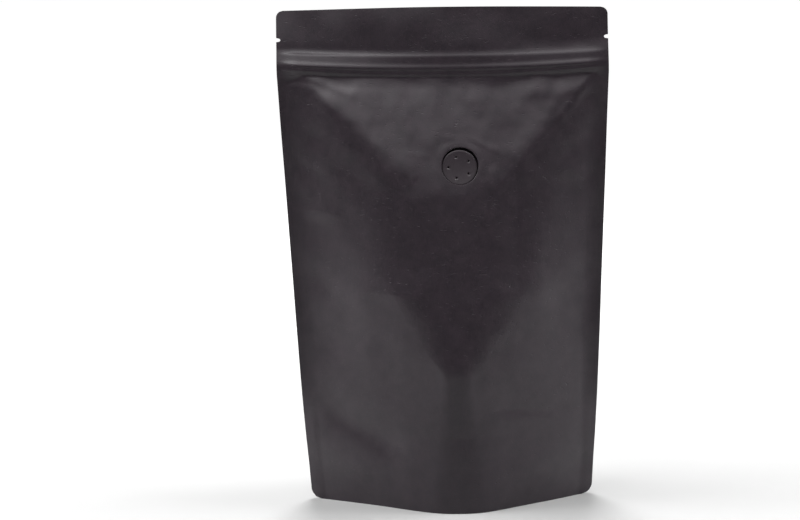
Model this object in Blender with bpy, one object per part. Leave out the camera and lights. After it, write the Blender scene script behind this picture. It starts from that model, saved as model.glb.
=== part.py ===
"""A stand-up coffee pouch of black kraft laminate, opened out and standing on its base.

The pouch is one heat-sealed body: a flat header with tear notches, the ridges of a press-to-close zip,
two panels that swell towards the base, flat seals down both sides, and a skirt round a folded-in gusset.
A round degassing valve sits in a shallow seat in the front panel.

Run with: blender --background --python part.py
Metres, +Z up. The origin is on the floor, midway between the sides and between front and back. -Y is the front.
"""

import math

import bmesh
import bpy
import numpy as np
from mathutils import Matrix, Vector

# Flat pouch, as bought: 190 x 290 mm with a bottom gusset about 2 x 50 mm, the usual size for 500 g of coffee.
FLAT_WIDTH = 0.190
STANDING_HEIGHT = 0.285  # the 290 mm panels lean out over the open gusset, so they stand a little lower
GUSSET = 0.052
# What is left of the width once the gusset is spread, at the floor and at the top of the gusset
BASE_CHORD = 0.164
GUSSET_CHORD = 0.1708

# Laminate and its seals
HEADER_THICKNESS = 0.0007
SKIRT_THICKNESS = 0.0010
SIDE_SEAL = 0.006
SEAL_FILLET = 0.004  # over which a panel lifts off its side seal
TOP_CORNER = 0.004
BASE_CORNER = 0.006

# Header and zip, measured down from the top edge
NOTCH_DROP = 0.017
NOTCH_HEIGHT = 0.0024
NOTCH_DEPTH = 0.0024
ZIP_DROP = 0.024
ZIP_BAND = 0.013
ZIP_SAG = 0.0023  # the zip hangs a little in the middle
TOP_CAMBER = 0.0009
TILT = -0.0125  # the header and zip slope down a little to the right
ZIP_BOTTOM = STANDING_HEIGHT - ZIP_DROP - ZIP_BAND
# How far the zip pushes the laminate out: (distance down from the top of its band, height)
ZIP_PROFILE = (
    (0.0000, 0.0000),
    (0.0008, 0.0008),
    (0.0016, 0.0012),
    (0.0042, 0.0013),
    (0.0058, 0.0018),
    (0.0068, 0.0020),
    (0.0082, 0.0018),
    (0.0100, 0.0018),
    (0.0115, 0.0013),
    (0.0135, 0.0005),
    (0.0160, 0.0000),
)
# At the left end, in the middle and at the right end: how full that profile is, and how far the laminate leans
# back for each unit up, across the zip and in the header above it
SPAN = (-0.08, 0.0, 0.08)
ZIP_GAIN = (1.1, 0.6, 1.1)
ZIP_LEAN = (0.33, 0.05, 0.28)
ZIP_LEAN_START = 0.009  # below the top of the zip
HEADER_LEAN = (0.12, 0.0, 0.0)
HEADER_LEAN_START = 0.003  # above the top of the zip
ZIP_LEAN_SOFTNESS = 0.0015
HEADER_LEAN_SOFTNESS = 0.003

# Panels: slopes are depth gained per width or height
FLANK_SLOPES = (  # (height, slope)
    (0.00, 0.65),
    (0.043, 0.56),
    (0.086, 0.56),
    (0.125, 0.60),
    (0.155, 0.50),
    (0.19, 0.39),
    (0.22, 0.33),
    (0.25, 0.38),
)
FLANK_BOW = ((0.11, 0.0022), (0.20, 0.0030))  # (height, bow)
NOSE = ((0.0, 0.009, 0.008), (0.03, 0.007, 0.005), (0.085, 0.004, 0.0015))  # (height, half width, rounding)
NOSE_SHIFT = 0.006  # how far right of the middle the nose is at the floor
CROWN_SLOPE_TOP = 0.44
CROWN_SLOPE_LOW = 0.175
CROWN_TURN = 0.0485  # below the zip, where the panel turns from leaning out to nearly upright
CROWN_TURN_SOFTNESS = 0.009
TRIANGLE = ((0.110, 0.0), (0.183, 0.028), (0.247, 0.082))  # (height, half width) of the triangle under the zip
TRIANGLE_SHIFT = 0.003
ARM_SLOPE = ((0.12, 0.0), (0.183, 0.205))  # (height, slope) at which the paper turns back beside the triangle
ARM_SOFTNESS = 0.002
RIDGE_SOFTNESS = ((0.08, 0.003), (0.14, 0.009), (0.20, 0.003))  # (height, blend)

# Base
RIM = 0.006  # height of the skirt in the middle
SEAL_CURVE = 1.2  # power of the curved seal that climbs from the rim to the top of the gusset
SEAL_DIP = 0.0014
SEAL_DIP_RISE = 0.010  # the dip runs this far above the seal
SEAL_DIP_WIDTH = 0.009
VAULT_END = 0.003  # solid left between the hollow under the pouch and the side seals
LEAST_FOLD = 0.002  # the gusset's fold stands at least this far above its seal
BELOW_FLOOR = 0.010  # how far the hollow's cutter reaches below the floor

# Valve
VALVE_X = 0.0085
VALVE_Z = 0.197
VALVE_RADIUS = 0.0102
VALVE_THICKNESS = 0.0020
VALVE_SUNK = 0.0005
VALVE_LEAN = math.radians(1.6)  # the disc's top right sits deeper than its bottom left
VALVE_LEAN_AXIS = (-0.8, 0.6, 0)
VALVE_CLEARANCE = 0.0003
SEAT_REACH = 0.004  # how far the seat's cutter stands out of the panel
VALVE_EDGE = 0.0004
PINHOLES = 5
PINHOLE_RADIUS = 0.0006
PINHOLE_DEPTH = 0.0009
PINHOLE_CIRCLE = 0.0061
PINHOLE_START = math.radians(36)

# Mesh fineness
COLUMNS = 36
CROWDING = 0.38  # how much closer together the columns stand at the sides
SEAT_SIDES = 48
PINHOLE_SIDES = 10
VAULT_COLUMNS = 26


def clear_scene():
    for obj in list(bpy.data.objects):
        bpy.data.objects.remove(obj)


def soft_ramp(x, width):
    """0 left of -width, x right of +width, and a parabola between them."""
    middle = (x + width) ** 2 / (4 * width)
    return np.where(x < -width, 0.0, np.where(x > width, x, middle))


def smooth_min(a, b, blend):
    """The lower of a and b, rounded off where they come within blend of each other."""
    blend = np.maximum(blend, 1e-9)
    share = np.clip(blend - np.abs(a - b), 0, None) / blend
    return np.minimum(a, b) - share**2 * blend / 4


def side_edge(z):
    """Half the width between the side edges, before the corners are rounded."""
    return np.interp(z, (0, GUSSET, ZIP_BOTTOM), (BASE_CHORD / 2, GUSSET_CHORD / 2, FLAT_WIDTH / 2))


def outline(z):
    """Half the width of the pouch at height z, with its rounded corners and tear notches."""
    half = side_edge(z)
    over = np.clip(z - (STANDING_HEIGHT - TOP_CORNER), 0, TOP_CORNER)
    half = half - (TOP_CORNER - np.sqrt(TOP_CORNER**2 - over**2))
    under = np.clip(BASE_CORNER - z, 0, BASE_CORNER)
    half = half - (BASE_CORNER - np.sqrt(BASE_CORNER**2 - under**2))
    off = np.clip(abs(z - (STANDING_HEIGHT - NOTCH_DROP)) / (NOTCH_HEIGHT / 2), 0, 1)
    return half - NOTCH_DEPTH * np.sqrt(1 - off**2)


def crown(x, z):
    """How far out a panel may stand between its flanks.

    The triangle under the zip leans out steeply and then turns nearly upright. Beside it the paper turns back.
    """
    drop = ZIP_BOTTOM - z
    turned = CROWN_TURN_SOFTNESS * np.logaddexp(0, (drop - CROWN_TURN) / CROWN_TURN_SOFTNESS)
    off_triangle = np.abs(x - TRIANGLE_SHIFT) - np.interp(z, *zip(*TRIANGLE))
    beside = soft_ramp(off_triangle, ARM_SOFTNESS) * np.interp(z, *zip(*ARM_SLOPE))
    return np.maximum(CROWN_SLOPE_TOP * drop - (CROWN_SLOPE_TOP - CROWN_SLOPE_LOW) * turned - beside, 0)


def from_nose(x, z, half):
    """x measured from the nose, which is off the middle at the floor and in the middle at the zip."""
    return x - NOSE_SHIFT * (1 - np.clip(z / ZIP_BOTTOM, 0, 1)) * (1 - np.clip(x / half, -1, 1) ** 2)


def seal_height(x):
    """Height of the curved seal that joins a panel to the gusset, by the width at the floor."""
    half = side_edge(0)
    return RIM + (GUSSET - RIM) * np.clip(np.abs(from_nose(x, 0, half)) / half, 0, 1) ** SEAL_CURVE


def panel_depth(x, z):
    """How far a panel stands out from the plane of the side seals.

    Two flanks rise from the side seals and meet in a blunt nose; the crown cuts them off above, which
    leaves the flat triangle that hangs from the zip. A shallow dip runs along above the curved seal.
    """
    inner_edge = side_edge(z) - SIDE_SEAL
    slope = np.interp(z, *zip(*FLANK_SLOPES))
    nose_heights, nose_halves, nose_roundings = zip(*NOSE)
    half = np.interp(z, nose_heights, nose_halves)
    rounding = np.interp(z, nose_heights, nose_roundings)
    off_middle = half + soft_ramp(np.abs(from_nose(x, z, inner_edge)) - half, rounding)
    reach = soft_ramp(inner_edge - off_middle, SEAL_FILLET)
    bow = np.interp(z, *zip(*FLANK_BOW)) * np.sin(math.pi * np.clip(reach / inner_edge, 0, 1))
    flank = slope * reach + bow
    top = crown(x, z)
    depth = smooth_min(flank, top, np.minimum(np.interp(z, *zip(*RIDGE_SOFTNESS)), top))
    above_seal = z - seal_height(x) - SEAL_DIP_RISE
    dip = SEAL_DIP * np.exp(-((above_seal / SEAL_DIP_WIDTH) ** 2)) * np.clip(np.abs(x) / inner_edge, 0, 1)
    return np.maximum(depth - dip * np.clip(reach / SIDE_SEAL, 0, 1), 0)


def zip_relief(x, z):
    """How far the zip pushes the laminate out. Its ends are crushed flat in the side seals."""
    drops, heights = zip(*ZIP_PROFILE)
    down = STANDING_HEIGHT - ZIP_DROP - z
    inside = np.clip((side_edge(z) - SIDE_SEAL - np.abs(x)) / SEAL_FILLET, 0, 1)
    return np.interp(down, drops, heights, left=0.0, right=0.0) * inside * np.interp(x, SPAN, ZIP_GAIN)


def lean(x, z):
    """How far the zip and the header lean back as one sheet, more at the ends than in the middle."""
    above_top = z - (STANDING_HEIGHT - ZIP_DROP)
    header = soft_ramp(above_top - HEADER_LEAN_START, HEADER_LEAN_SOFTNESS)
    over_zip = soft_ramp(above_top + ZIP_LEAN_START, ZIP_LEAN_SOFTNESS) - header
    return np.interp(x, SPAN, ZIP_LEAN) * over_zip + np.interp(x, SPAN, HEADER_LEAN) * header


def front_face(x, z):
    """How far in front of the seal plane the outer face lies. The back face mirrors it."""
    return HEADER_THICKNESS / 2 + panel_depth(x, z) + zip_relief(x, z)


def hang(x, z):
    """How far a point at height z is moved up or down by the zip's sag, the top edge's camber and the tilt."""
    middle = 1 - np.clip(x / (FLAT_WIDTH / 2), -1, 1) ** 2
    heights = (0, 0.55 * ZIP_BOTTOM, ZIP_BOTTOM, STANDING_HEIGHT - ZIP_DROP, STANDING_HEIGHT)
    sag = np.interp(z, heights, (0, 0, -ZIP_SAG, -ZIP_SAG, TOP_CAMBER))
    return middle * sag + TILT * x * np.clip(z / ZIP_BOTTOM, 0, 1)


def row_heights():
    """Heights of the rings: close together at corners, notches and zip, wide apart on the panels."""
    base = [0, 0.0015, 0.0035, BASE_CORNER, 0.011, 0.018, 0.026, 0.034, 0.043, GUSSET, 0.060, 0.070]
    panel = list(np.linspace(0.083, ZIP_BOTTOM - 0.008, 15))
    band = [STANDING_HEIGHT - ZIP_DROP - down for down, _ in reversed(ZIP_PROFILE)]
    notch = STANDING_HEIGHT - NOTCH_DROP + NOTCH_HEIGHT / 2 * np.array([-1, -0.85, 0, 0.85, 1])
    corner = STANDING_HEIGHT - TOP_CORNER * np.array([1, 0.55, 0.2, 0.04, 0])
    return base + panel + band + list(notch) + list(corner)


def new_object(name, bm, material):
    bmesh.ops.recalc_face_normals(bm, faces=bm.faces)
    mesh = bpy.data.meshes.new(name)
    bm.to_mesh(mesh)
    bm.free()
    mesh.materials.append(material)
    mesh.shade_smooth()
    mesh.set_sharp_from_angle(angle=math.radians(35))
    obj = bpy.data.objects.new(name, mesh)
    bpy.context.scene.collection.objects.link(obj)
    return obj


def loft(bm, rings, cap):
    """Skins a list of equally long closed rings and closes both ends by cap(bm, ring)."""
    skins = [[bm.verts.new(point) for point in ring] for ring in rings]
    for lower, upper in zip(skins, skins[1:]):
        for i in range(len(lower)):
            j = (i + 1) % len(lower)
            bm.faces.new((lower[i], lower[j], upper[j], upper[i]))
    cap(bm, skins[0])
    cap(bm, skins[-1])


def strip_cap(bm, ring):
    """Closes a flat ring whose second half runs back opposite its first, as a strip of quads."""
    half = len(ring) // 2
    for i in range(half - 1):
        bm.faces.new((ring[i], ring[i + 1], ring[-i - 2], ring[-i - 1]))


def pouch_body(material):
    """The heat-sealed body: rings of front and back points, one above another."""
    share = np.linspace(-1, 1, COLUMNS + 1)
    share = (1 - CROWDING) * share + CROWDING * np.sin(share * math.pi / 2)
    bm = bmesh.new()
    rings = []
    for z in row_heights():
        x = share * outline(z)
        y = front_face(x, z)
        back_shift = lean(x, z)
        up = z + hang(x, z)
        front = np.column_stack((x, back_shift - y, up))
        back = np.column_stack((x, back_shift + y, up))[::-1]
        rings.append(np.vstack((front, back)))
    loft(bm, rings, strip_cap)
    return new_object("pouch", bm, material)


def cutter(name, bm):
    bmesh.ops.recalc_face_normals(bm, faces=bm.faces)
    mesh = bpy.data.meshes.new(name)
    bm.to_mesh(mesh)
    bm.free()
    obj = bpy.data.objects.new(name, mesh)
    bpy.context.scene.collection.objects.link(obj)
    obj.hide_render = True
    obj.display_type = "WIRE"
    return obj


def vault_cutter():
    """The space under the pouch: inside the skirt, and up to the gusset's fold.

    At each x the gusset's half width, less what the seal takes, spans the depth, and the rest of it rises.
    """
    end = side_edge(0) - SIDE_SEAL - VAULT_END
    bm = bmesh.new()
    rings = []
    for x in np.linspace(-end, end, VAULT_COLUMNS + 1):
        seal = float(seal_height(x))
        levels = np.array([0, 0.5 * seal, seal])
        inner = front_face(x, levels) - SKIRT_THICKNESS
        fold = seal + math.sqrt(max((GUSSET - seal) ** 2 - inner[-1] ** 2, LEAST_FOLD**2))
        side = [(inner[0], -BELOW_FLOOR), *zip(inner, levels)]
        front = [(x, -y, z) for y, z in side]
        back = [(x, y, z) for y, z in reversed(side)]
        rings.append(front + [(x, 0, fold)] + back)
    loft(bm, rings, lambda mesh, ring: mesh.faces.new(ring))
    return cutter("vault_cutter", bm)


def cut(obj, tool):
    boolean = obj.modifiers.new(tool.name, "BOOLEAN")
    boolean.operation = "DIFFERENCE"
    boolean.object = tool


def rod(radius, low, high, sides, centre=(0, 0)):
    """A bmesh cylinder along Z from low to high."""
    bm = bmesh.new()
    place = Matrix.Translation((centre[0], centre[1], (low + high) / 2))
    bmesh.ops.create_cone(
        bm, cap_ends=True, segments=sides, radius1=radius, radius2=radius, depth=high - low, matrix=place
    )
    return bm


def valve_place():
    """Where the valve's face lies: its own +Z points out of the pouch, and its +X to the right."""
    x, z = VALVE_X, VALVE_Z
    step = 0.001
    across = front_face(x + step, z) - front_face(x - step, z)
    upward = front_face(x, z + step) - front_face(x, z - step)
    out = Vector((-across / (2 * step), -1, -upward / (2 * step))).normalized()
    right = (Vector((1, 0, 0)) - out * out.x).normalized()
    turn = Matrix((right, out.cross(right), out)).transposed().to_4x4()
    face = Vector((x, -float(front_face(x, z)), z + float(hang(x, z)))) - out * VALVE_SUNK
    lean = Matrix.Rotation(VALVE_LEAN, 4, Vector(VALVE_LEAN_AXIS))
    return Matrix.Translation(face) @ turn @ lean


def valve_seat_cutter(place):
    depth = VALVE_THICKNESS + VALVE_CLEARANCE
    tool = cutter("valve_seat_cutter", rod(VALVE_RADIUS + VALVE_CLEARANCE, -depth, SEAT_REACH, SEAT_SIDES))
    tool.matrix_world = place
    return tool


def valve(place, material):
    """A round disc with a softened edge and a ring of pinholes that let the gas out."""
    disc = new_object("valve", rod(VALVE_RADIUS, -VALVE_THICKNESS, 0, SEAT_SIDES), material)
    disc.matrix_world = place
    edge = disc.modifiers.new("edge", "BEVEL")
    edge.width = VALVE_EDGE
    edge.segments = 2
    edge.limit_method = "ANGLE"
    for i in range(PINHOLES):
        angle = PINHOLE_START + 2 * math.pi * i / PINHOLES
        centre = (PINHOLE_CIRCLE * math.cos(angle), PINHOLE_CIRCLE * math.sin(angle))
        pin = cutter(f"pinhole_cutter_{i}", rod(PINHOLE_RADIUS, -PINHOLE_DEPTH, 0.001, PINHOLE_SIDES, centre))
        pin.matrix_world = place
        cut(disc, pin)
    return disc


def finish(name, colour, roughness):
    """A Principled finish. The colour is sRGB, turned to Blender's linear values."""
    linear = [c / 12.92 if c <= 0.04045 else ((c + 0.055) / 1.055) ** 2.4 for c in colour]
    material = bpy.data.materials.new(name)
    material.use_nodes = True
    shader = material.node_tree.nodes["Principled BSDF"]
    shader.inputs["Base Color"].default_value = (*linear, 1)
    shader.inputs["Roughness"].default_value = roughness
    shader.inputs["Metallic"].default_value = 0
    return material


def main():
    clear_scene()
    paper = finish("black kraft laminate", (0.20, 0.18, 0.19), 0.5)
    plastic = finish("black polyethylene", (0.18, 0.17, 0.18), 0.4)
    pouch = pouch_body(paper)
    place = valve_place()
    cut(pouch, vault_cutter())
    cut(pouch, valve_seat_cutter(place))
    valve(place, plastic)


main()
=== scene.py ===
# %% [markdown]
# # A black kraft coffee pouch
#
# A coffee pouch is a flat tube of laminate, black kraft paper outside and plastic film inside, that
# heat seals close down both sides. A second piece folded into the bottom lets it stand. Opened out,
# the flat front turns into three faces: two flanks that lean back to the side seals, and a triangle
# that hangs from the zip.
#
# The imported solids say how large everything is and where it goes. This script keeps their shape,
# and gives the paper its dents, creases and grain. It starts by loading them.

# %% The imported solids
import math

import bpy
import numpy as np
from mathutils import Matrix, Vector


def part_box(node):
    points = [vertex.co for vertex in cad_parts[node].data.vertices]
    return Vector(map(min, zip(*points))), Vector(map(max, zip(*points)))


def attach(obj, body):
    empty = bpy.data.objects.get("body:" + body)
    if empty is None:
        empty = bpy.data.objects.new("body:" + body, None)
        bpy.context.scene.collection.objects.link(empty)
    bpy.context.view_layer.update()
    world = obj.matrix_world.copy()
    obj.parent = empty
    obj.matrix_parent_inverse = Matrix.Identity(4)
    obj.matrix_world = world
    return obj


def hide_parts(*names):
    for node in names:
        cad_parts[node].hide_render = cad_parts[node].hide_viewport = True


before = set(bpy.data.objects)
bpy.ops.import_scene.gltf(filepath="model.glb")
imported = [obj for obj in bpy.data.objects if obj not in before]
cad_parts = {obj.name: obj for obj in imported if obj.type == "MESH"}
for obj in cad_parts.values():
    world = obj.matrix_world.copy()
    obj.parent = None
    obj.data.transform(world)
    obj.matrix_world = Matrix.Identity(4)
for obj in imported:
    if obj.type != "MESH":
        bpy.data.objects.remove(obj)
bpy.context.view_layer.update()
pouch_low, pouch_high = (np.array(corner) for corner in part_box("pouch"))
valve_low, valve_high = (np.array(corner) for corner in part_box("valve"))
print("pouch, mm:", np.round((pouch_high - pouch_low) * 1000, 1))

# %% [markdown]
# ## Sizes
#
# The width comes from the solid. The other sizes are those that such a pouch is made to: seals of
# 6 mm, a zip 24 mm below the top edge, tear notches 17 mm below it. Lengths are written in
# millimetres times MM, so that a size reads as it would on a drawing.

# %% Driving sizes
MM = 0.001
FLAT_HALF = (pouch_high[0] - pouch_low[0]) / 2
HEIGHT = 285 * MM
BASE_HALF = 82 * MM
GUSSET = 52 * MM
GUSSET_HALF = 85.4 * MM
SIDE_SEAL = 6 * MM
SHEET = 0.7 * MM  # both panels together, where they are sealed to each other
ZIP_TOP = HEIGHT - 24 * MM
ZIP_BOTTOM = ZIP_TOP - 13 * MM
TOP_CORNER, BASE_CORNER = 4 * MM, 6 * MM
NOTCH, NOTCH_HALF, NOTCH_DEPTH = HEIGHT - 17 * MM, 1.2 * MM, 2.4 * MM
print("zip from", round(ZIP_BOTTOM / MM, 1), "to", round(ZIP_TOP / MM, 1), "mm above the floor")

# %% [markdown]
# ## The outline
#
# Seen from the front, the side edges draw together towards the floor, because paper that bulges
# forwards is paper that no longer reaches sideways. The die that cuts the pouch rounds its corners
# and nicks both side edges, so that it can be torn open. Two functions hold all of this: half the
# width at each height, and what the die takes off it.


# %% Half the width at each height
def side_edge(z):
    """Half the width between the side edges: straight up to the gusset's top, and on to the zip."""
    return np.interp(z, (0, GUSSET, ZIP_BOTTOM), (BASE_HALF, GUSSET_HALF, FLAT_HALF))


def cut_away(z):
    """What the die takes off a side: r - sqrt(r^2 - d^2) in a corner, half an ellipse at a notch."""
    top = np.clip(z - (HEIGHT - TOP_CORNER), 0, TOP_CORNER)
    base = np.clip(BASE_CORNER - z, 0, BASE_CORNER)
    off_notch = np.clip(np.abs(z - NOTCH) / NOTCH_HALF, 0, 1)
    top_round = TOP_CORNER - np.sqrt(TOP_CORNER**2 - top**2)
    base_round = BASE_CORNER - np.sqrt(BASE_CORNER**2 - base**2)
    return top_round + base_round + NOTCH_DEPTH * np.sqrt(1 - off_notch**2)


print("half widths, mm:", np.round(side_edge(np.array([0, GUSSET, HEIGHT])) / MM, 1))

# %% [markdown]
# ## The form of a panel
#
# Paper bends but doesn't stretch, so an opened pouch is made of flat and conical stretches. Each
# one is a simple height field over the width x and the height z, and the panel is the lowest of
# them, with the place where they meet rounded off. The rounding is a smooth minimum, which takes
# h^2 / 4k off the lower height, where h is how far inside the blend width k the two heights are.


# %% Rounding helpers
def soft_ramp(x, width):
    """0 up to -w and x from w on, with the parabola (x + w)^2 / 4w between them."""
    return np.where(x < -width, 0.0, np.where(x > width, x, (x + width) ** 2 / (4 * width)))


def smooth_min(a, b, blend):
    """The lower of a and b, less h^2 / 4k where they lie within k of each other."""
    inside = np.clip(blend - np.abs(a - b), 0, None)
    return np.minimum(a, b) - inside**2 / (4 * np.maximum(blend, 1e-9))


def smooth_step(x, low, high):
    """3t^2 - 2t^3, where t runs from 0 at low to 1 at high."""
    t = np.clip((x - low) / (high - low), 0, 1)
    return t * t * (3 - 2 * t)


# %% Flanks and crown
# Here a name that ends in AT holds heights or places in metres, and what follows it the values there.
NOSE_SHIFT = 6 * MM
NOSE_AT, NOSE_HALF, NOSE_ROUND = (0, 0.03, 0.085), (10 * MM, 7.5 * MM, 5 * MM), (8 * MM, 6 * MM, 2 * MM)
SLOPE_AT = (0, 0.043, 0.086, 0.125, 0.155, 0.19, 0.22, 0.25)
FLANK_SLOPES = (0.62, 0.57, 0.60, 0.605, 0.51, 0.42, 0.37, 0.34)
BOW_AT, FLANK_BOW = (0.11, 0.20), (2.4 * MM, 2.7 * MM)
FILLET_AT, SEAL_FILLET = (0.03, 0.055), (2.5 * MM, 4 * MM)
LEAN_AT, TRIANGLE_LEAN = (-0.06, 0.0, 0.04, 0.07), (0.54, 0.44, 0.385, 0.42)
LOWER_LEAN = 0.20
TURN_DROP, TURN_SOFTNESS = 53 * MM, 9 * MM
BLEND_AT, BLEND = (0.08, 0.11, 0.14, 0.17, 0.20), (3 * MM, 7 * MM, 10 * MM, 7 * MM, 5 * MM)
SIDE_AT, TRIANGLE_SIDE = (0.110, 0.183, 0.247), (-3 * MM, 26 * MM, 83 * MM)
ARM_AT, ARM_SLOPE = (0.12, 0.183), (0.0, 0.225)
ARM_MIDDLE, ARM_ROUND = 3 * MM, 2 * MM
SEAL_LOW, SEAL_POWER = 6 * MM, 1.2


def from_nose(x, z, half):
    """x from the nose: NOSE_SHIFT off the middle at the floor, and in the middle at the zip."""
    return x - NOSE_SHIFT * (1 - np.clip(z / ZIP_BOTTOM, 0, 1)) * (1 - np.clip(x / half, -1, 1) ** 2)


def flank(x, z):
    """Depth of the two leaning sides: slope times the distance in from the side seal, plus a bow.

    They would meet in a sharp edge, but the real one is a blunt nose: within its half width the
    distance from the middle counts as that half width. A fillet eases the bend off the seal.
    """
    inner = side_edge(z) - SIDE_SEAL
    half, rounding = np.interp(z, NOSE_AT, NOSE_HALF), np.interp(z, NOSE_AT, NOSE_ROUND)
    off_middle = half + soft_ramp(np.abs(from_nose(x, z, inner)) - half, rounding)
    reach = soft_ramp(inner - off_middle, np.interp(z, FILLET_AT, SEAL_FILLET))
    bow = np.interp(z, BOW_AT, FLANK_BOW) * np.sin(math.pi * np.clip(reach / inner, 0, 1))
    return np.interp(z, SLOPE_AT, FLANK_SLOPES) * reach + bow


def crown(x, z):
    """Depth of a panel between its flanks.

    The triangle leans out by TRIANGLE_LEAN of its drop below the zip, and by LOWER_LEAN from
    TURN_DROP down. Beyond the triangle's sides the paper turns back by ARM_SLOPE, which makes the
    two dark arms that run to the corners.
    """
    drop = ZIP_BOTTOM - z
    lean = np.interp(x, LEAN_AT, TRIANGLE_LEAN)
    turned = TURN_SOFTNESS * np.logaddexp(0, (drop - TURN_DROP) / TURN_SOFTNESS)
    past_side = soft_ramp(np.abs(x - ARM_MIDDLE) - np.interp(z, SIDE_AT, TRIANGLE_SIDE), ARM_ROUND)
    back = past_side * np.interp(z, ARM_AT, ARM_SLOPE)
    return np.maximum(lean * drop - (lean - LOWER_LEAN) * turned - back, 0)


def seal_height(x):
    """The seal of panel and gusset: SEAL_LOW + the rest of GUSSET * (x / half width)^SEAL_POWER."""
    share = np.clip(np.abs(from_nose(x, 0, BASE_HALF)) / BASE_HALF, 0, 1)
    return SEAL_LOW + (GUSSET - SEAL_LOW) * share**SEAL_POWER


def panel_depth(x, z):
    """How far a panel stands out from the plane of the seals: the smooth minimum of flank and crown."""
    sides, top = flank(x, z), crown(x, z)
    blend = np.minimum(np.interp(z, BLEND_AT, BLEND), top)
    return np.maximum(smooth_min(sides, top, blend), 0)


print("depth at the floor, mm:", np.round(2 * panel_depth(NOSE_SHIFT, 0.0) / MM, 1))

# %% [markdown]
# ## The zip
#
# A press-to-close zip is two strips of polyethylene welded inside the pouch. The paper over them
# shows their section: a sharp edge, a low flat band, two ridges close together and a long slope
# back to the paper. It is drawn as a profile of heights over the distance down, and carried across
# the width. The zip sags in the middle, and its ends are crushed flat inside the side seals.

# %% Profile of the zip
# Each pair is a distance below the zip's top and how far the paper stands out there, in millimetres.
ZIP_PROFILE = np.array((
    (-1.5, 0), (-0.6, 0.1), (0, 0.45), (0.8, 1.05), (1.5, 1.22), (2.4, 1.25), (4.2, 1.3),
    (5.0, 1.45), (5.8, 1.85), (6.5, 2.05), (7.4, 2.0), (8.2, 1.75), (9.2, 1.95), (10, 1.9),
    (11.5, 1.3), (13.5, 0.5), (16, 0),
)) * MM
ZIP_DOWN, ZIP_OUT = ZIP_PROFILE.T
ZIP_GAIN_AT, ZIP_GAIN = (-0.08, 0.005, 0.08), (1.1, 0.6, 1.1)
ZIP_SPREAD = 0.22
ZIP_END = SIDE_SEAL + 6 * MM
HANG_AT = (0, 0.55 * ZIP_BOTTOM, ZIP_BOTTOM, ZIP_TOP, HEIGHT)
HANG = (0, 0, -2.3 * MM, -2.3 * MM, 0.9 * MM)
TILT = 0.0125


def bowed(x):
    """1 in the middle and 0 at the side edges: 1 - (x / half width)^2."""
    return 1 - np.clip(x / FLAT_HALF, -1, 1) ** 2


def zip_relief(x, z):
    """The profile's height at each distance below the zip's top, over the width between the seals.

    In the middle the strips hang a little further apart, and the paper is drawn flatter over them.
    """
    down = (ZIP_TOP - z) / (1 + ZIP_SPREAD * bowed(x))
    inside = smooth_step(side_edge(z) - np.abs(x), 0, ZIP_END)
    return np.interp(down, ZIP_DOWN, ZIP_OUT) * inside * np.interp(x, ZIP_GAIN_AT, ZIP_GAIN)


def hang(x, z):
    """How far a point is moved up: the zip's sag, the top's camber, and a tilt of 0.7 degrees."""
    return bowed(x) * np.interp(z, HANG_AT, HANG) - TILT * x * np.clip(z / ZIP_BOTTOM, 0, 1)


print("zip stands out by at most, mm:", ZIP_OUT.max() / MM)

# %% [markdown]
# ## Creases and dents
#
# Handling leaves two kinds of marks in paper. Creases are short, straight and sharper: here each is
# a ridge or a valley along a line, with the section of a bell curve, and it is placed where such a
# pouch folds. Dents are shallow and without direction. The larger ones are listed too, and the many
# small ones are a sum of plane waves with directions and phases drawn from a seeded generator, which
# gives a different but natural surface for each seed.


# %% Ridge, dent and crumple, each a height out of the paper
FADE_FROM, FADE_TO = -0.1, 0.3  # shares of a crease's length


def ridge(x, z, start, end, width, height):
    """height * exp(-(d / w)^2) at distance d from the line, fading out at either end."""
    (x0, z0), (x1, z1) = np.array(start) * MM, np.array(end) * MM
    length = math.hypot(x1 - x0, z1 - z0)
    along = ((x - x0) * (x1 - x0) + (z - z0) * (z1 - z0)) / length**2
    across = ((x - x0) * (z1 - z0) - (z - z0) * (x1 - x0)) / length
    ends = smooth_step(along, FADE_FROM, FADE_TO) * smooth_step(1 - along, FADE_FROM, FADE_TO)
    return height * MM * np.exp(-((across / (width * MM)) ** 2)) * ends


def dent(x, z, centre, size, height):
    """height * exp(-r^2), where r is the distance from the centre in units of the size."""
    across = (x - centre[0] * MM) / (size[0] * MM)
    upwards = (z - centre[1] * MM) / (size[1] * MM)
    return height * MM * np.exp(-(across**2) - upwards**2)


def crumple(x, z, wavelengths, seed, waves=28):
    """Sum of cos(k . p + phase) over random directions and wavelengths, divided by sqrt(waves / 2)."""
    draw = np.random.default_rng(seed)
    angle, phase = draw.uniform(0, 2 * math.pi, (2, waves))
    number = 2 * math.pi / (draw.uniform(*wavelengths, waves) * MM)
    total = 0
    for k, a, p in zip(number, angle, phase):
        total = total + np.cos(k * (x * math.cos(a) + z * math.sin(a)) + p)
    return total / math.sqrt(waves / 2)
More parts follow.
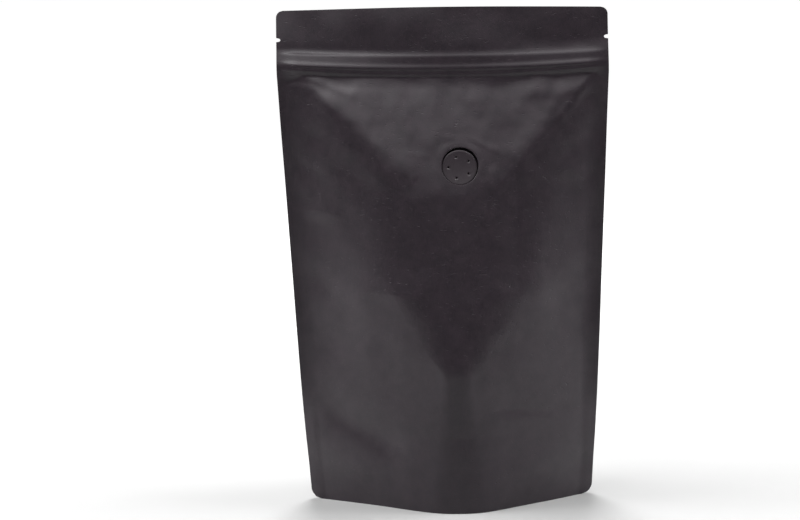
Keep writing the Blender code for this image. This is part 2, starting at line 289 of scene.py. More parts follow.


# %% Creases of the front
# Each is (start, end, width, height): x and z in millimetres from the middle of the base, and how
# wide and how far out the ridge is. A negative height is a valley.
FRONT_CREASES = (
    ((-88, 252), (-52, 237), 2.2, 0.7),  # runs in from the zip's left end
    ((-84, 241), (-64, 221), 3.0, -0.15),  # beside the triangle's left side
    ((-62, 222), (-38, 197), 4.0, -0.1),
    ((66, 221), (46, 193), 4.0, -0.2),  # beside the triangle's right side
    ((85, 245), (64, 219), 3.0, 0.6),
    ((-89, 268), (-74, 261), 1.6, 0.35),  # in the header, beside the left notch
    ((-2, 214), (14, 212), 2.0, 0.25),  # puckers round the valve
    ((12, 214), (33, 204), 1.6, 0.3),
    ((-24, 206), (-8, 202), 1.8, 0.22),
    ((-16, 194), (-21, 186), 1.6, 0.22),
    ((26, 196), (36, 186), 3.0, 0.2),
    ((-9, 90), (-1, 78), 1.6, 0.12),  # where the nose begins
    ((-1, 80), (-0.5, 62), 1.8, 0.1),
    ((12, 86), (12, 66), 2.4, 0.1),
    ((-84, 171), (-58, 168), 3.5, 0.3),  # the left flank's upper edge
    ((-78, 60), (-24, 32), 9, -1.9),  # above the left corner's seal
    ((24, 59), (75, 52), 4.0, -0.8),  # across the right flank
    ((22, 28), (66, 40), 6.0, -0.35),
    ((-60, 30), (-80, 14), 5.0, 0.3),
)
# Each is (centre, size, height) in millimetres.
FRONT_DENTS = (
    ((-83, 50), (5, 6), -1.2),  # where the gusset's fold meets the seals
    ((84, 50), (5, 6), -1.0),
    ((-66, 234), (11, 8), 1.4),  # under the zip, from left to right
    ((-45, 238), (10, 7), 0.9),
    ((-28, 232), (12, 9), 0.6),
    ((20, 236), (16, 8), 0.5),
    ((28, 240), (10, 6), -0.5),
    ((52, 240), (10, 6), 0.75),
    ((72, 238), (9, 6), 0.7),
    ((-50, 225), (12, 9), 0.8),
    ((-20, 222), (12, 9), 0.5),
    ((0, 180), (14, 10), 0.6),  # below the valve
    ((-70, 160), (10, 10), -0.45),  # along the left flank
    ((-68, 130), (12, 14), -1.3),
    ((-65, 95), (12, 14), -1.3),
    ((-45, 115), (13, 13), 0.15),
    ((45, 115), (13, 13), 0.55),  # along the right flank
    ((68, 120), (12, 14), -0.7),
    ((38, 85), (12, 12), 0.15),
    ((35, 62), (12, 9), -0.5),
)
HEADER_DENTS = (
    ((-60, 277), (12, 6), 0.2),
    ((75, 277), (10, 6), -0.2),
    ((-15, 267), (8, 4), -0.2),
    ((55, 266), (9, 4), -0.15),
    ((78, 266), (7, 4), -0.35),
)
print(len(FRONT_CREASES), "creases and", len(FRONT_DENTS), "dents on the front")

# %% [markdown]
# The back never gets the valve's puckers. It has a few folds of its own, and its own random dents.
# Round the upper half of the valve the front is pushed out in a low collar.

# %% Creases of the back, and the relief of both
BACK_CREASES = (
    ((-78, 247), (-56, 236), 2.5, 0.6),
    ((79, 247), (60, 235), 2.2, 0.6),
    ((-76, 240), (-44, 203), 4.0, -0.6),
    ((77, 240), (46, 200), 4.0, -0.7),
    ((-20, 214), (10, 208), 4.0, 0.4),
    ((8, 96), (2, 70), 2.4, 0.4),
    ((68, 60), (22, 30), 6.5, -1.3),
    ((-68, 60), (-24, 31), 6.5, -1.2),
    ((-70, 120), (-40, 112), 7.0, -0.5),
)
BACK_DENTS = (((-70, 22), (12, 9), 0.9), ((68, 23), (12, 9), 0.8), ((30, 228), (14, 9), 0.4))
COLLAR_AT = (8.5 * MM, 197 * MM)
COLLAR_HEIGHT, COLLAR_RADIUS, COLLAR_WIDTH = 0.2 * MM, 13 * MM, 1.6 * MM
# Shortest and longest wave in mm, and the height on the flanks and on the triangle.
SOFT_CRUMPLE = ((16, 40), 0.08 * MM, 0.18 * MM)
FINE_CRUMPLE = ((6, 13), 0.008 * MM, 0.032 * MM)
FRONT_SEED, BACK_SEED = 11, 29
FLANKS_TO, TRIANGLE_FROM = 0.16, 0.20  # heights between which the one turns into the other
SHARE_AT_SEAL = 0.25  # of the creases and dents, so much reaches into the side seals


def collar(x, z):
    """height * exp(-((d - radius) / width)^2) at distance d from the valve, on its upper half."""
    across, upwards = x - COLLAR_AT[0], z - COLLAR_AT[1]
    upper = smooth_step(upwards + 0.4 * across, -2 * MM, 9 * MM)
    off_ring = (np.hypot(across, upwards) - COLLAR_RADIUS) / COLLAR_WIDTH
    return COLLAR_HEIGHT * np.exp(-(off_ring**2)) * upper


def relief(x, z, front):
    """Creases, dents and crumple of one panel, fading out at the zip and towards the side seals."""
    creases, dents = (FRONT_CREASES, FRONT_DENTS) if front else (BACK_CREASES, BACK_DENTS)
    placed = sum(ridge(x, z, *crease) for crease in creases) + sum(dent(x, z, *one) for one in dents)
    placed = placed + collar(x, z) * front
    in_triangle = smooth_step(z, FLANKS_TO, TRIANGLE_FROM)
    seed = FRONT_SEED if front else BACK_SEED
    random = 0
    for i, (waves, low, high) in enumerate((SOFT_CRUMPLE, FINE_CRUMPLE)):
        random = random + crumple(x, z, waves, seed + i) * (low + (high - low) * in_triangle)
    below_zip = smooth_step(ZIP_BOTTOM - z, -2 * MM, 4 * MM)
    from_edge = smooth_step(side_edge(z) - np.abs(x), 2 * MM, 12 * MM)
    from_floor = smooth_step(z, 0, 8 * MM)
    kept = SHARE_AT_SEAL + (1 - SHARE_AT_SEAL) * from_edge
    return (placed * kept + random * from_edge * from_floor) * below_zip


# %% [markdown]
# ## What both panels do together
#
# Where the panels are sealed to each other they move as one sheet. The zip leans back at its ends,
# the header waves, and at the base's corners the sheet is folded back along a slanting line.

# %% Sway of the sealed sheet
# How far the sheet leans back for each unit up, at heights above the zip's top.
LEAN_HEIGHT = np.array([-9, -7, -5, -1.5, 0.5, 3, 8, 24]) * MM
LEFT_LEANS = (0, 0.3, 0.42, 0.45, 0.45, 0.2, 0.26, 0.28)
MIDDLE_LEANS = (0, 0.08, 0.1, 0.1, 0.1, 0.1, 0.17, 0.2)
RIGHT_LEANS = (0, 0.2, 0.2, 0.2, 0.25, 0.25, 0.14, 0.14)
LEAN_STEP = 0.25  # mm
# Shortest and longest wave in mm, seed and height.
HEADER_WAVES = ((22, 60), 5, 0.45 * MM)
SEAL_WAVES = ((30, 80), 6, 0.35 * MM)
BROAD_WAVE, BROAD_NUMBER, BROAD_PHASE = 0.8 * MM, 3.1, 0.6
# The fold line's place and direction, how far the sheet takes to bend over it, and how far each
# corner goes back.
FOLD_X, FOLD_Z, FOLD_ACROSS, FOLD_DOWN = 84 * MM, 42 * MM, 0.49, 0.87
FOLD_REACH = 20 * MM
CORNER_FOLDS = ((-1, 4.0 * MM), (1, 3.4 * MM))
# The side seal beside the corner turns back as a fin, up to where it fades out.
FIN_LEAN, FIN_WIDTH, FIN_ROUND = 0.6, 5 * MM, 2 * MM
FIN_FADE, FIN_END = 45 * MM, 75 * MM


def twist(x, z):
    """How far zip and header lean back: slope times step, summed on the way up, blended across."""
    steps = np.arange(-10, 30, LEAN_STEP) * MM
    up = z - ZIP_TOP
    left, middle, right = (
        np.interp(up, steps, np.cumsum(np.interp(steps, LEAN_HEIGHT, leans)) * LEAN_STEP * MM)
        for leans in (LEFT_LEANS, MIDDLE_LEANS, RIGHT_LEANS)
    )
    leftness, rightness = smooth_step(-x, 0, 85 * MM), smooth_step(x, 15 * MM, 65 * MM)
    return leftness * left + rightness * right + (1 - leftness - rightness) * middle


def header_sway(x, z):
    """The header's dents, random waves and a broad wave height * sin(number x / half width + phase)."""
    above_zip = smooth_step(z, ZIP_TOP - 1 * MM, ZIP_TOP + 3 * MM)
    dents = -sum(dent(x, z, *one) for one in HEADER_DENTS) * above_zip
    waves, seed, height = HEADER_WAVES
    broad = BROAD_WAVE * np.sin(x / FLAT_HALF * BROAD_NUMBER + BROAD_PHASE)
    in_header = smooth_step(z, ZIP_TOP - 4 * MM, HEIGHT)
    return dents + in_header * (crumple(x, z, waves, seed) * height + broad)


def seal_sway(x, z):
    """The random waves of the side seals, between the floor and the header."""
    waves, seed, height = SEAL_WAVES
    below_header = 1 - smooth_step(z, ZIP_TOP - 4 * MM, HEIGHT)
    at_seal = smooth_step(np.abs(x), side_edge(z) - 12 * MM, side_edge(z)) * smooth_step(z, 0, 20 * MM)
    return at_seal * below_header * crumple(x, z, waves, seed) * height


def corner_sway(x, z):
    """The fin of the side seals, and how far the sheet goes back past each corner's fold line."""
    back = FIN_LEAN * soft_ramp(np.abs(x) - side_edge(z) + FIN_WIDTH, FIN_ROUND)
    back = back * (1 - smooth_step(z, FIN_FADE, FIN_END))
    for side, height in CORNER_FOLDS:
        past_fold = FOLD_ACROSS * (side * x - FOLD_X) - FOLD_DOWN * (z - FOLD_Z)
        back = back + height * smooth_step(past_fold, 0, FOLD_REACH)
    return back


def sway(x, z):
    """How far the sealed sheet lies behind the plane y = 0: all that both panels do together."""
    return header_sway(x, z) + twist(x, z) + seal_sway(x, z) + corner_sway(x, z)


# %% [markdown]
# ## From two parameters to a panel
#
# Everything above is a function of x and z. A point of the front lies the whole depth in front of
# the seal plane, and a point of the back as far behind it.


# %% A panel's surface
LEAN_DROP = 0.1
CUT_FROM = 0.86  # the share of the half width from which the columns make room for the die's cut


def panel(x, z, front):
    """(x, sway -+ (half sheet + depth + zip + relief), z + hang), which is the outer face of one panel.

    Paper that leans back doesn't get longer, so it stands lower by LEAN_DROP of its twist.
    """
    out = SHEET / 2 + panel_depth(x, z) + zip_relief(x, z) + relief(x, z, front)
    y = sway(x, z) + (-out if front else out)
    return np.stack((x, y, z + hang(x, z) - LEAN_DROP * twist(x, z)), axis=-1)


def spaced(stops):
    """Heights from the first stop to the last, in steps no larger than each stop's own."""
    parts = [
        np.linspace(low, high, math.ceil((high - low) / step) + 1)[:-1]
        for (low, step), (high, _) in zip(stops, stops[1:])
    ]
    return np.concatenate(parts + [[stops[-1][0]]])


# Each is a height and the largest step above it. The last step isn't used.
ROWS = spaced((
    (0, 1.0 * MM), (BASE_CORNER, 1.35 * MM), (ZIP_BOTTOM, 0.42 * MM), (ZIP_TOP, 1.3 * MM),
    (NOTCH - NOTCH_HALF, 0.3 * MM), (NOTCH + NOTCH_HALF, 1.4 * MM),
    (HEIGHT - TOP_CORNER, 0.5 * MM), (HEIGHT, 1.0 * MM),
))
COLUMNS = np.linspace(-1, 1, 177)


def width_grid(rows):
    """x and z for every column and row, with the die's cut taken up by the columns near the edge."""
    share, z = np.meshgrid(COLUMNS, rows, indexing="ij")
    near_edge = smooth_step(np.abs(share), CUT_FROM, 1)
    return share * side_edge(z) - np.sign(share) * cut_away(z) * near_edge, z


print(len(ROWS), "rows and", len(COLUMNS), "columns")

# %% [markdown]
# ## The underside
#
# The gusset is one more piece of laminate, folded along its middle and pushed up into the pouch.
# Round it stands a narrow skirt where panel and gusset are sealed. For each column the underside is
# a path from the back edge to the front edge: up the skirt's inner face, over the fold, and down
# again. At the side seals the path lies flat, because there all four layers are sealed into one.

# %% The path under the pouch
SKIRT, LEAST_GAP = 1.0 * MM, 0.2 * MM
LEAST_RISE, FOLD_ARCH = 2 * MM, 1.2 * MM
WALL_STEPS = np.linspace(0, 1, 7)
FOLD_STEPS = np.linspace(0, 1, 14)[1:]


def under_half(x, front):
    """One side of the path: the skirt's inner face up to the seal, then an arch to the fold at y = 0.

    The gusset's paper keeps its length, so the fold stands sqrt(paper^2 - depth^2) above the seal.
    """
    seal = seal_height(x)[:, None]
    across, walls = np.broadcast_arrays(x[:, None], WALL_STEPS * seal)
    plain = np.maximum(SHEET / 2 + panel_depth(across, walls) - SKIRT, LEAST_GAP)
    inner = np.maximum(plain + relief(across, walls, front), LEAST_GAP)
    rise = np.sqrt(np.maximum((GUSSET - seal) ** 2 - plain[:, -1:] ** 2, LEAST_RISE**2))
    y = np.hstack((inner, inner[:, -1:] * (1 - FOLD_STEPS)))
    z = np.hstack((walls, seal + rise * FOLD_STEPS + FOLD_ARCH * np.sin(math.pi * FOLD_STEPS)))
    open_here = smooth_step(BASE_HALF - SIDE_SEAL - 2 * MM - np.abs(x), 0, 4 * MM)[:, None]
    flat = np.linspace(SHEET / 2, 0, y.shape[1])
    y, z = open_here * y + (1 - open_here) * flat, open_here * z
    across = np.broadcast_to(x[:, None], y.shape)
    return np.stack((across, sway(across, z) + (-y if front else y), z), axis=-1)


def underside(x):
    """Back to front, with the fold's point taken once."""
    return np.concatenate((under_half(x, False), under_half(x, True)[:, -2::-1]), axis=1)


# %% [markdown]
# ## One closed skin
#
# Each column now has a closed loop: up the front, down the back and along the underside. Placed
# side by side the loops make a tube across the width, and a strip of faces closes it at either side
# edge. So the whole pouch is one surface with no open border.


# %% The loops and their faces
def pouch_loops(x, z):
    """Points in the order column, then place along the loop."""
    front, back = panel(x, z, True), panel(x, z, False)[:, ::-1]
    return np.concatenate((front, back, underside(x[:, 0])), axis=1)


def tube_faces(columns, around):
    """Quads between neighbouring loops, wound so that they face outwards."""
    start = np.arange(columns - 1)[:, None] * around + np.arange(around)[None, :]
    ahead = np.arange(columns - 1)[:, None] * around + (np.arange(around)[None, :] + 1) % around
    return np.stack((start, start + around, ahead + around, ahead), axis=-1)


def end_faces(first, around, rows, flip):
    """The strip that closes a loop: front row against back row, and a last face for the underside."""
    row = np.arange(1, rows - 1)
    strip = np.stack((row, row + 1, 2 * rows - 2 - row, 2 * rows - 1 - row), axis=-1) + first
    last = [first, first + 1] + [first + i for i in range(2 * rows - 2, around)]
    faces = strip.tolist() + [last]
    return [face[::-1] for face in faces] if flip else faces


# %% [markdown]
# ## The valve's seat
#
# A square grid can't hold a clean circle. So a window of the front's grid is left open, and a ring
# patch fills it. Its outer ring is the window's own border, and its inner ring is the circle, drawn
# out a little at the top, where the paper stands off the valve. From there the patch goes down the
# wall of the seat and across its floor to one point in the middle.

# %% Where the valve sits
VALVE_X, VALVE_Z = 8.6 * MM, 196.6 * MM
VALVE_SUNK = 1.1 * MM
VALVE_LEAN, LEAN_AXIS = math.radians(-4), Vector((-1, 0.1, 0))


def valve_place():
    """The valve's own axes and centre: its +Z points out of the panel, by the panel's slope there.

    Turned a little about LEAN_AXIS, its upper edge stands out further than its lower one.
    """
    step = 1 * MM
    left, right = (panel_depth(VALVE_X + side * step, VALVE_Z) for side in (-1, 1))
    below, above = (panel_depth(VALVE_X, VALVE_Z + side * step) for side in (-1, 1))
    out = Vector(((left - right) / (2 * step), -1, (below - above) / (2 * step))).normalized()
    across = (Vector((1, 0, 0)) - out * out.x).normalized()
    turn = Matrix((across, out.cross(across), out)).transposed().to_4x4()
    depth = float(SHEET / 2 + panel_depth(VALVE_X, VALVE_Z))
    face = Vector((VALVE_X, -depth, VALVE_Z + float(hang(VALVE_X, VALVE_Z)))) - out * VALVE_SUNK
    return Matrix.Translation(face) @ turn @ Matrix.Rotation(VALVE_LEAN, 4, LEAN_AXIS)


def placed(points, place):
    """The points, given in the valve's axes, in the world."""
    turn = np.array(place)
    return points @ turn[:3, :3].T + turn[:3, 3]


VALVE_PLACE = valve_place()
print("valve's centre, mm:", np.round(np.array(VALVE_PLACE.translation) / MM, 2))
print("its solid's centre:", np.round((valve_low + valve_high) / 2 / MM, 2))


# %% The ring patch round the seat
# Each ring of the lip is a radius in mm, the share of the panel's own height that it keeps, and how
# many mm below that it lies. The last one, on the seat's floor, is clear of the gap.
LIP = ((10.3, 1, 0.06), (10.15, 1, 0.25), (10.35, 0.6, 0.9), (10.35, 0, 4.0), (7.0, 0, 4.0))
CIRCLE_START, GAP_FROM = 10.6, 10
PATCH_STEPS = np.linspace(0, 1, 8)[1:, None]
WINDOW_HALF = 15 * MM
# The gap in mm over the cosine of the angle to GAP_TOWARDS, where it is widest.
GAP_TOWARDS = math.radians(80)
GAP_AT, GAP = (-1, -0.4, 0.1, 0.6, 1), (-0.05, 0.05, 0.3, 0.9, 1.6)


def seat_gap(angle):
    """How far the paper stands off the valve, in mm: widest at the top, and closed at the bottom."""
    return np.interp(np.cos(angle - GAP_TOWARDS), GAP_AT, GAP)


def window_of(x):
    """First and last column, and first and last row, of the cells that the patch takes the place of."""
    middle = x[:, np.argmin(np.abs(ROWS - VALVE_Z))]
    column = np.flatnonzero(np.abs(middle - VALVE_X) < WINDOW_HALF)
    row = np.flatnonzero(np.abs(ROWS - VALVE_Z) < WINDOW_HALF)
    return column[0], column[-1], row[0], row[-1]


def border_of(left, right, low, high):
    """Columns and rows of the window's border, anticlockwise from its lower left corner."""
    wide, tall = right - left, high - low
    there, back = np.arange(left, right), np.arange(right, left, -1)
    up, down = np.arange(low, high), np.arange(high, low, -1)
    columns = np.concatenate((there, np.full(tall, right), back, np.full(tall, left)))
    rows = np.concatenate((np.full(wide, low), up, np.full(wide, high), down))
    return columns, rows


def seat_rings(x, z):
    """Rings from the window's border inwards, and the point in the middle of the seat's floor.

    A point of the border and the circle's point at the same angle are joined by
    (1 - t) border + t circle, and the panel gives each of these its depth. From the circle on, the
    rings are worked out in the valve's own axes.
    """
    turn = np.array(VALVE_PLACE)
    angle = np.arctan2((z - VALVE_Z) / turn[2, 1], x - VALVE_X)
    circle = np.stack((np.cos(angle), np.sin(angle), 0 * angle), axis=-1)
    gap = seat_gap(angle)[:, None]
    rim = placed(circle * (CIRCLE_START + gap) * MM, VALVE_PLACE)
    rim_z = rim[:, 2] - hang(rim[:, 0], VALVE_Z)
    patch = panel(x + PATCH_STEPS * (rim[:, 0] - x), z + PATCH_STEPS * (rim_z - z), True)
    height = ((patch[-1] - turn[:3, 3]) @ turn[:3, 2])[:, None]
    out = np.array((0, 0, 1))
    lip = []
    for radius, keep, depth in LIP:
        ring = circle * (radius + gap * (radius > GAP_FROM)) * MM
        lip.append(placed(ring + out * (keep * height - depth * MM), VALVE_PLACE))
    pole = placed(np.array([[0, 0, -LIP[-1][2] * MM]]), VALVE_PLACE)
    return np.concatenate((patch, lip)), pole


def ring_faces(border, first, rings, around):
    """Quads from the border to the last of the rings, and triangles from there to the pole."""
    inner = first + np.arange(rings * around).reshape(rings, around)
    index = np.vstack((border, inner))
    beside = np.roll(index, -1, axis=1)
    quads = np.stack((index[:-1], beside[:-1], beside[1:], index[1:]), axis=-1).reshape(-1, 4)
    pole = np.full(around, first + rings * around)
    return quads.tolist() + np.stack((index[-1], beside[-1], pole), axis=-1).tolist()


# %% Points and faces of the skin
def pouch_skin_mesh():
    """The points in use, and all the faces but those under the patch."""
    x, z = width_grid(ROWS)
    points = pouch_loops(x, z)
    columns, around = points.shape[:2]
    quads = tube_faces(columns, around)
    left, right, low, high = window_of(x)
    keep = np.ones(quads.shape[:2], bool)
    keep[left:right, low:high] = False
    border_column, border_row = border_of(left, right, low, high)
    rings, pole = seat_rings(x[border_column, border_row], z[border_column, border_row])
    border = border_column * around + border_row
    faces = quads[keep].tolist() + ring_faces(border, columns * around, len(rings), len(border))
    faces += end_faces(0, around, len(ROWS), False)
    faces += end_faces((columns - 1) * around, around, len(ROWS), True)
    points = np.concatenate((points.reshape(-1, 3), rings.reshape(-1, 3), pole))
    used = np.zeros(len(points), bool)
    used[np.concatenate(faces)] = True
    number = np.cumsum(used) - 1
    return points[used], [number[face].tolist() for face in faces]


def new_piece(name, points, faces, crease_degrees):
    """A mesh object at the origin, shaded smooth except at edges sharper than the given angle."""
    mesh = bpy.data.meshes.new(name)
    mesh.from_pydata(points, [], faces)
    mesh.validate()
    mesh.shade_smooth()
    mesh.set_sharp_from_angle(angle=math.radians(crease_degrees))
    piece = bpy.data.objects.new(name, mesh)
    bpy.context.scene.collection.objects.link(piece)
    return piece


pouch_skin = new_piece("pouch_skin", *pouch_skin_mesh(), 40)
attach(pouch_skin, "root")
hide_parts("pouch")
print("pouch_skin:", len(pouch_skin.data.vertices), "points")
print("size in mm:", np.round(np.array(pouch_skin.dimensions) / MM, 1))

# %% [markdown]
# ## The valve
#
# A degassing valve is a moulded polyethylene button. It is a turned shape, so it is a profile of
# radius and height carried once round, with a pole at the middle of each side. Its face is slightly
# dished. Five pinholes let the gas out: each is a shallow pit with a deeper hole just above its
# middle, taken off the face's height.

# %% Profile and pinholes
VALVE_THICKNESS = 2.0 * MM
# The radii of the face's rings stand closest where the pinholes are.
INNER, MIDDLE, OUTER = np.linspace(0.3, 4.7, 10), np.linspace(4.9, 7.3, 19), np.linspace(7.6, 9.3, 6)
FACE = np.concatenate((INNER, MIDDLE, OUTER)) * MM
# Each is a radius and a height, in millimetres.
EDGE = np.array((
    (9.6, 0.0), (9.9, -0.05), (10.1, -0.2), (10.2, -0.45),
    (10.2, -1.6), (10.1, -1.9), (9.8, -2.0), (5.0, -2.0),
)) * MM
AROUND = 240
DISH_DEPTH, DISH_RADIUS = 0.7 * MM, 9.3 * MM
PINHOLES, PINHOLE_CIRCLE, PINHOLE_START = 5, 6.3 * MM, math.radians(36)
PIT_DEPTH, PIT_RADIUS = 0.5 * MM, 0.65 * MM
HOLE_DEPTH, HOLE_RADIUS, HOLE_RAISED = 0.9 * MM, 0.42 * MM, 0.3 * MM


def pinholes(u, v):
    """Each is a pit -depth exp(-(d / radius)^2), and further up a hole -depth exp(-(d / radius)^4)."""
    height = 0 * u
    for i in range(PINHOLES):
        angle = PINHOLE_START + 2 * math.pi * i / PINHOLES
        across, upwards = u - PINHOLE_CIRCLE * math.cos(angle), v - PINHOLE_CIRCLE * math.sin(angle)
        pit = np.hypot(across, upwards) / PIT_RADIUS
        hole = np.hypot(across, upwards - HOLE_RAISED) / HOLE_RADIUS
        height -= PIT_DEPTH * np.exp(-(pit**2)) + HOLE_DEPTH * np.exp(-(hole**4))
    return height


def dish(r):
    """Height of the face: depth * ((r / radius)^2 - 1), so that it is lowest in the middle."""
    return DISH_DEPTH * (np.clip(r / DISH_RADIUS, 0, 1) ** 2 - 1)


def valve_disc_mesh():
    """Rings of the face from the middle outwards, then rim and underside, with a pole at each end."""
    radius = np.concatenate((FACE, EDGE[:, 0]))[:, None]
    height = np.concatenate((dish(FACE), EDGE[:, 1]))[:, None]
    angle = np.linspace(0, 2 * math.pi, AROUND, endpoint=False)
    u, v = radius * np.cos(angle), radius * np.sin(angle)
    on_face = np.arange(len(radius))[:, None] < len(FACE)
    w = height + on_face * pinholes(u, v)
    poles = np.array([[0, 0, dish(0)], [0, 0, -VALVE_THICKNESS]])
    points = np.concatenate((np.stack((u, v, w), axis=-1).reshape(-1, 3), poles))
    index = np.arange(u.size).reshape(u.shape)
    beside = np.roll(index, -1, axis=1)
    quads = np.stack((index[:-1], index[1:], beside[1:], beside[:-1]), axis=-1).reshape(-1, 4)
    top, bottom = np.full(AROUND, u.size), np.full(AROUND, u.size + 1)
    fan = np.stack((top, index[0], beside[0]), axis=-1)
    under = np.stack((bottom, beside[-1], index[-1]), axis=-1)
    return placed(points, VALVE_PLACE), quads.tolist() + fan.tolist() + under.tolist()


valve_disc = new_piece("valve_disc", *valve_disc_mesh(), 50)
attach(valve_disc, "root")
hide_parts("valve")
print("valve_disc:", len(valve_disc.data.vertices), "points")

# %% [markdown]
# ## Materials
#
# One function turns sRGB hex colours into the linear numbers that a shader takes, and one adds a
# node with its settings and links. Patterns read Object coordinates times 1000, so that a size of
# 2.5 in a material is 2.5 mm on the pouch.


# %% Colour and node helpers
def linear(hex_colour):
    """sRGB to linear: c / 12.92 up to 0.04045, and ((c + 0.055) / 1.055)^2.4 above it."""
    channels = np.array([int(hex_colour[i : i + 2], 16) for i in (1, 3, 5)]) / 255
    bright = ((channels + 0.055) / 1.055) ** 2.4
    return (*np.where(channels <= 0.04045, channels / 12.92, bright).tolist(), 1.0)


def add(tree, kind, inputs=None, **settings):
    """Adds a node. Each input is a value for the socket, or another node's output to link to it."""
    node = tree.nodes.new(kind)
    for name, value in settings.items():
        setattr(node, name, value)
    for socket, value in (inputs or {}).items():
        if isinstance(value, bpy.types.NodeSocket):
            tree.links.new(value, node.inputs[socket])
        else:
            node.inputs[socket].default_value = value
    return node


def new_material(name):
    """An empty material with its Principled shader, which the caller sets and links."""
    material = bpy.data.materials.new(name)
    material.use_nodes = True
    return material, material.node_tree, material.node_tree.nodes["Principled BSDF"]


def in_millimetres(tree, stretch=(1, 1, 1), turn=(0, 0, 0)):
    """Object coordinates in millimetres, turned, and drawn out by the stretch along each axis."""
    place = add(tree, "ShaderNodeTexCoord").outputs["Object"]
    inputs = {"Vector": place, "Rotation": turn, "Scale": tuple(1000 / s for s in stretch)}
    return add(tree, "ShaderNodeMapping", inputs).outputs["Vector"]


def noise(tree, vector, size, detail=3, roughness=0.5):
    """Noise whose features are about the given number of millimetres wide."""
    inputs = {"Vector": vector, "Scale": 1 / size, "Detail": detail, "Roughness": roughness}
    return add(tree, "ShaderNodeTexNoise", inputs).outputs["Fac"]


def between(tree, factor, low, high, low_at=0.3, high_at=0.7):
    """Map Range: low where the factor is at low_at, high where it is at high_at."""
    inputs = {"Value": factor, "From Min": low_at, "From Max": high_at, "To Min": low, "To Max": high}
    return add(tree, "ShaderNodeMapRange", inputs).outputs["Result"]


# %% [markdown]
# ### Black kraft paper
#
# Kraft paper is long unbleached fibre, here dyed black in the pulp. It is matte, never quite even
# in tone, and fibres lie on it mostly along the direction that the web ran in. Real fibres are 0.03
# mm thick, far too fine to show, so they are drawn as strands 0.5 mm wide and a few millimetres
# long. A few pits, wider than they are tall, stand for the places where knots of fibre have pulled
# out.


# %% Dyed kraft paper, laminated
def kraft_paper():
    """Matte and slightly cloudy. Its gloss breaks up at every fibre, so it looks like paper."""
    material, tree, shader = new_material("kraft paper, pulp-dyed black, film-laminated")
    clouds = noise(tree, in_millimetres(tree), 7, detail=4, roughness=0.6)
    upright = noise(tree, in_millimetres(tree, (0.5, 0.5, 3.0)), 1, detail=2)
    slanting = noise(tree, in_millimetres(tree, (2.2, 0.6, 0.5), (0, 0.5, 0.3)), 1, detail=2)
    strands = add(tree, "ShaderNodeMath", {0: upright, 1: slanting}, operation="MAXIMUM").outputs[0]
    tone = add(tree, "ShaderNodeMix", {"Factor": 0.4, 2: clouds, 3: strands}).outputs[0]
    ramp = add(tree, "ShaderNodeValToRGB", {"Fac": tone})
    ramp.color_ramp.elements[0].position = 0.36
    ramp.color_ramp.elements[0].color = linear("#201920")
    ramp.color_ramp.elements[1].position = 0.66
    ramp.color_ramp.elements[1].color = linear("#2c232a")
    tree.links.new(ramp.outputs["Color"], shader.inputs["Base Color"])
    tree.links.new(between(tree, strands, 0.36, 0.44), shader.inputs["Roughness"])
    grain = noise(tree, in_millimetres(tree), 0.9, detail=3)
    fibres = add(tree, "ShaderNodeMix", {"Factor": 0.5, 2: grain, 3: strands}).outputs[0]
    knots = noise(tree, in_millimetres(tree, (2.2, 2.2, 0.8)), 1.2, detail=1)
    pits = between(tree, knots, 0, 2.6, 0.68, 0.78)
    relief_height = add(tree, "ShaderNodeMath", {0: fibres, 1: pits}, operation="SUBTRACT").outputs[0]
    bump_inputs = {"Height": relief_height, "Strength": 0.4, "Distance": 0.07 * MM}
    bump = add(tree, "ShaderNodeBump", bump_inputs)
    tree.links.new(bump.outputs["Normal"], shader.inputs["Normal"])
    shader.inputs["IOR"].default_value = 1.5
    return material


pouch_skin.data.materials.append(kraft_paper())
print("material:", pouch_skin.data.materials[0].name)


# %% [markdown]
# ### Black polyethylene
#
# The valve is injection moulded against an eroded steel face, which leaves a fine even grain. The
# grain makes it a little rougher than the paper, so its sheen is broad and faint.


# %% Moulded polyethylene
def moulded_polyethylene():
    """Satin black plastic, nearly one tone all over."""
    material, tree, shader = new_material("polyethylene, injection moulded, spark-eroded grain")
    grain = noise(tree, in_millimetres(tree), 0.5, detail=2)
    ramp = add(tree, "ShaderNodeValToRGB", {"Fac": noise(tree, in_millimetres(tree), 4)})
    ramp.color_ramp.elements[0].color = linear("#231a21")
    ramp.color_ramp.elements[1].color = linear("#2b2229")
    tree.links.new(ramp.outputs["Color"], shader.inputs["Base Color"])
    tree.links.new(between(tree, grain, 0.48, 0.56), shader.inputs["Roughness"])
    bump = add(tree, "ShaderNodeBump", {"Height": grain, "Strength": 0.3, "Distance": 0.03 * MM})
    tree.links.new(bump.outputs["Normal"], shader.inputs["Normal"])
    shader.inputs["IOR"].default_value = 1.51
    return material


valve_disc.data.materials.append(moulded_polyethylene())
print("material:", valve_disc.data.materials[0].name)

# %% [markdown]
# ## Floor, lamps and camera
#
# Black paper is shown by what it mirrors. Its diffuse part is so dark that the broad gloss of the
# light sources draws the form, and so the bright lamps stand where the flanks and the triangle
# mirror them, and only two weak ones stand towards the camera. The floor's glow and the white of
# the world are there for the camera, and next to nothing of them falls on the pouch.

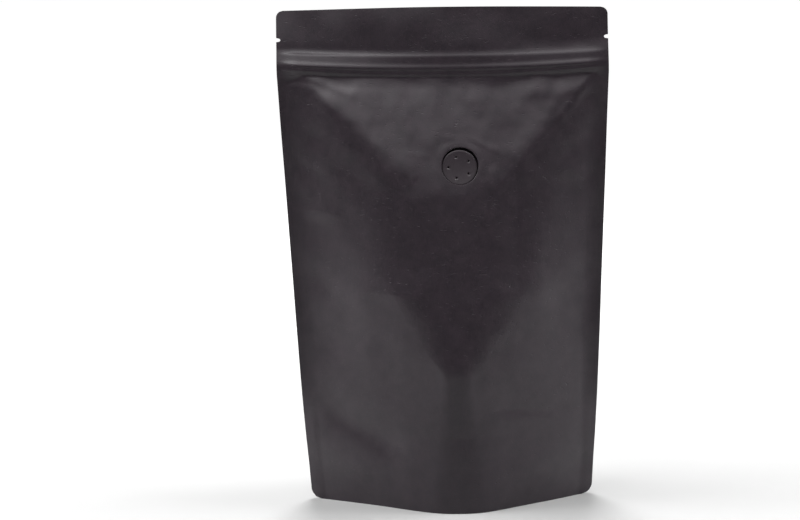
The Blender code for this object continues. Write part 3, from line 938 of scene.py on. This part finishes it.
# %% A pale floor
def pale_floor():
    """Matte pale paint. To the camera it glows too, more so further out, to meet the white world."""
    material, tree, shader = new_material("white matte paint, rolled")
    mottle = noise(tree, in_millimetres(tree), 60)
    tree.links.new(between(tree, mottle, 0.75, 0.85), shader.inputs["Roughness"])
    shader.inputs["Base Color"].default_value = linear("#a0a0a0")
    seen = add(tree, "ShaderNodeLightPath").outputs["Is Camera Ray"]
    place = add(tree, "ShaderNodeTexCoord").outputs["Object"]
    distance = add(tree, "ShaderNodeVectorMath", {0: place}, operation="LENGTH").outputs["Value"]
    far = between(tree, distance, 0.0, 1.0, 0.35, 1.4)
    glow = add(tree, "ShaderNodeMath", {0: seen, 1: far}, operation="MULTIPLY").outputs[0]
    tree.links.new(glow, shader.inputs["Emission Strength"])
    shader.inputs["Emission Color"].default_value = (1, 1, 1, 1)
    return material


FLOOR_HALF = 60.0
corners = np.array([[-1, -1, 0], [1, -1, 0], [1, 1, 0], [-1, 1, 0]]) * FLOOR_HALF
floor = new_piece("floor", corners.tolist(), [[0, 1, 2, 3]], 30)
floor.data.materials.append(pale_floor())


# %% Lamps
def aimed(thing, place, target):
    """Puts a lamp at a place and turns its -Z, the way it shines, to the target."""
    thing.location = place
    thing.rotation_euler = (target - place).to_track_quat("-Z", "Y").to_euler()


LAMPS_ROUND = Vector((0, 0, 0.14))


def softbox(name, azimuth, elevation, distance, size, watts):
    """A lamp on a sphere round the pouch's middle. Azimuth 0 is the camera's side, 90 the right."""
    lamp = bpy.data.lights.new(name, "AREA")
    lamp.shape, lamp.size, lamp.size_y, lamp.energy = "RECTANGLE", *size, watts
    thing = bpy.data.objects.new(name, lamp)
    bpy.context.scene.collection.objects.link(thing)
    a, e = math.radians(azimuth), math.radians(elevation)
    place = Vector((math.sin(a) * math.cos(e), -math.cos(a) * math.cos(e), math.sin(e))) * distance
    aimed(thing, place + LAMPS_ROUND, LAMPS_ROUND)
    thing.visible_camera = False


# Each is a name, azimuth and elevation in degrees, distance and size in metres, and watts.
LARGE, SMALL = (0.7, 0.7), (0.24, 0.26)
LAMPS = (
    ("left_softbox", -85, 45, 1.6, LARGE, 24),
    ("right_softbox", 85, 45, 1.6, LARGE, 25),
    ("high_left", -45, 65, 1.6, LARGE, 8.3),
    ("front_top", 0, 45, 1.6, LARGE, 2.2),
    ("overhead", 0, 80, 1.6, LARGE, 4),
    ("back_softbox", 180, 55, 1.6, LARGE, 36),
    ("left_strip", -110, 2, 1.0, SMALL, 8),
    ("right_strip", 108, 2, 1.0, SMALL, 3.6),
)
for one in LAMPS:
    softbox(*one)
print(len(LAMPS), "lamps")

# %% World
world = bpy.data.worlds.new("white room")
bpy.context.scene.world = world
world.use_nodes = True
world.node_tree.nodes.clear()
seen = add(world.node_tree, "ShaderNodeBackground", {"Color": (1, 1, 1, 1), "Strength": 1.0})
lit = add(world.node_tree, "ShaderNodeBackground", {"Color": (1, 1, 1, 1), "Strength": 0.02})
ray = add(world.node_tree, "ShaderNodeLightPath")
inputs = {"Fac": ray.outputs["Is Camera Ray"], 1: lit.outputs[0], 2: seen.outputs[0]}
mixed = add(world.node_tree, "ShaderNodeMixShader", inputs)
add(world.node_tree, "ShaderNodeOutputWorld", {"Surface": mixed.outputs[0]})

# %% Camera
CAMERA_AT = (0, -1.3, 0.3005)
TURNED_LEFT, LOOKING_DOWN, ROLLED = 1.187, 7.01, -1.40  # degrees
eye = bpy.data.cameras.new("camera")
eye.sensor_width, eye.lens = 36.0, 102.0
camera = bpy.data.objects.new("camera", eye)
bpy.context.scene.collection.objects.link(camera)
left = Matrix.Rotation(math.radians(TURNED_LEFT), 4, "Z")
down = Matrix.Rotation(math.radians(90 - LOOKING_DOWN), 4, "X")
roll = Matrix.Rotation(math.radians(ROLLED), 4, "Z")
camera.matrix_world = Matrix.Translation(CAMERA_AT) @ left @ down @ roll
bpy.context.scene.camera = camera
bpy.context.scene.view_settings.view_transform = "Standard"
print("camera at", tuple(camera.matrix_world.translation))
